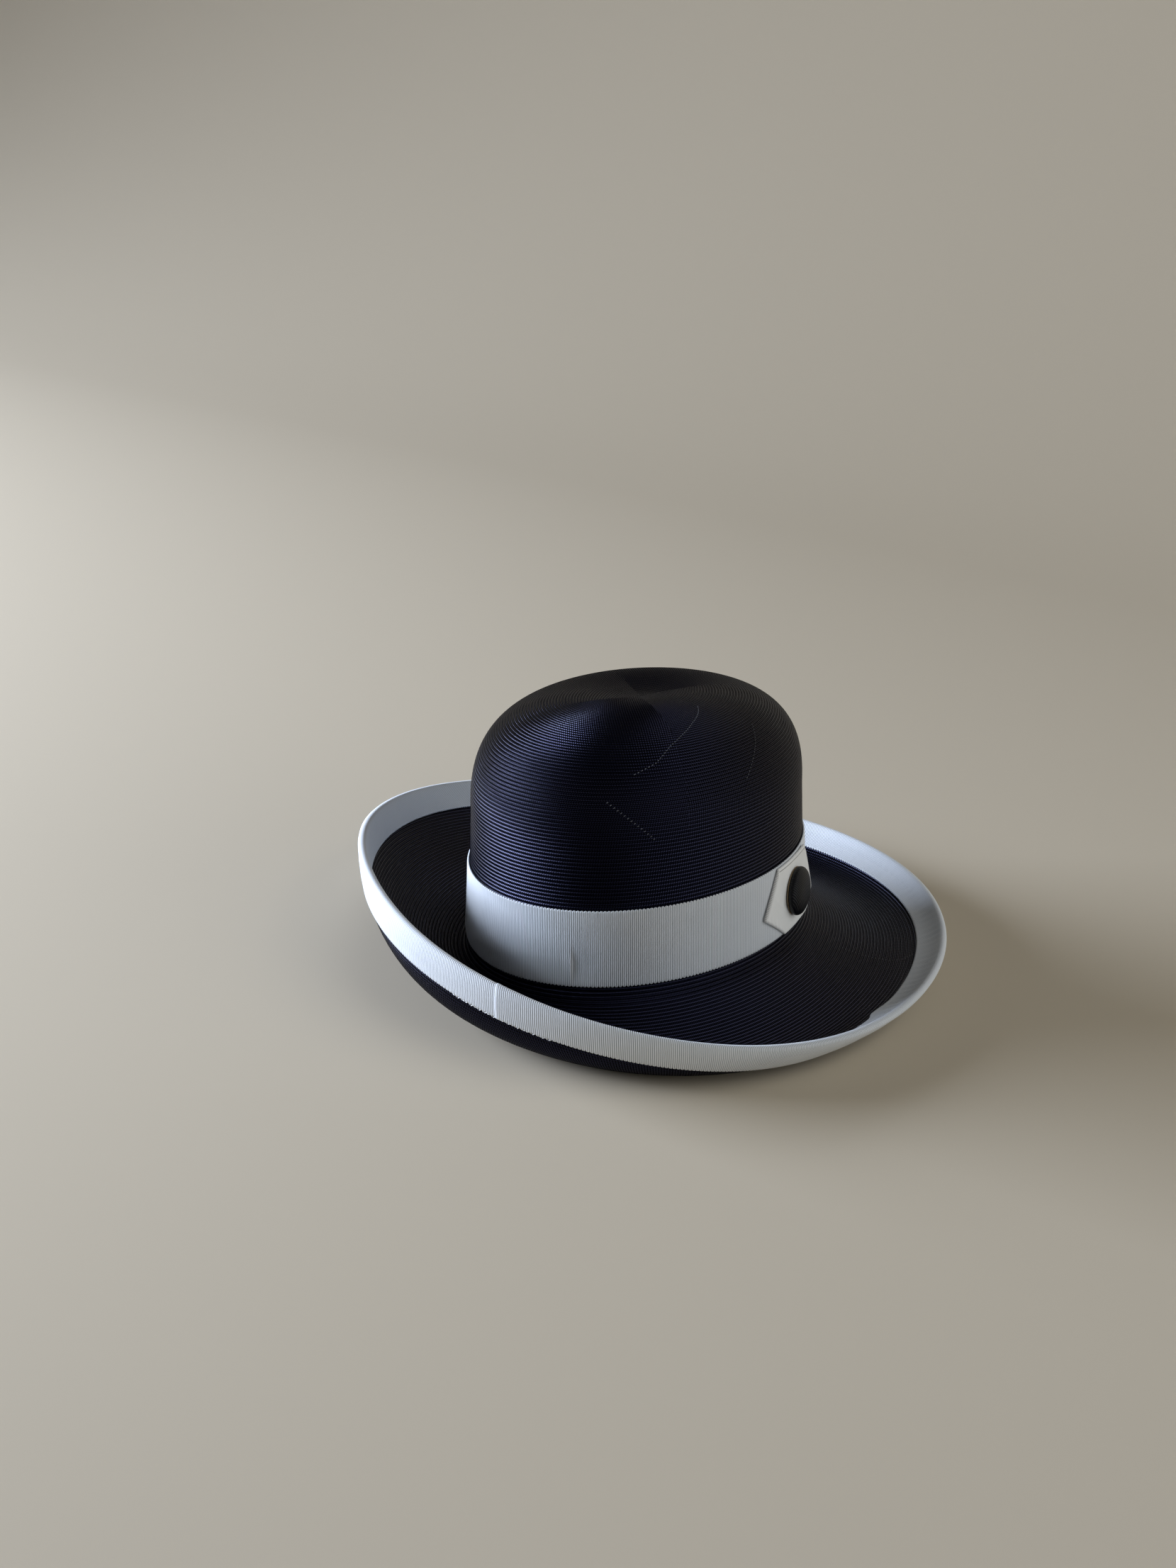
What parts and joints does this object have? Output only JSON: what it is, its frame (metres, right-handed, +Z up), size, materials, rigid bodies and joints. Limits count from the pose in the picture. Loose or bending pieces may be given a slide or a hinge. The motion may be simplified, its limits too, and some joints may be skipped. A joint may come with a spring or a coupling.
{
  "type": "straw hat",
  "caption": "Woven straw hat with a rounded crown, a brim swept up on one side, a ribbed ribbon band with a folded tab and covered button, and a ribbon-bound edge.",
  "frame": {"origin": "on the surface that the hat stands on, below the middle of its box", "axes": "+Z up, +Y towards the front of the hat, +X towards the wearer's right, where the button is"},
  "size_m": [0.3062, 0.3478, 0.138],
  "materials": {
    "straw": "navy woven straw, stiffened, with a soft sheen",
    "ribbon": "off-white ribbed ribbon, matt",
    "button_cover": "navy ribbed cloth drawn over a domed button"
  },
  "bodies": {
    "root": {"crown": "straw", "brim": "straw", "hat_band": "ribbon", "band_tab": "ribbon", "edge_binding": "ribbon", "button": "button_cover"}
  },
  "joints": []
}
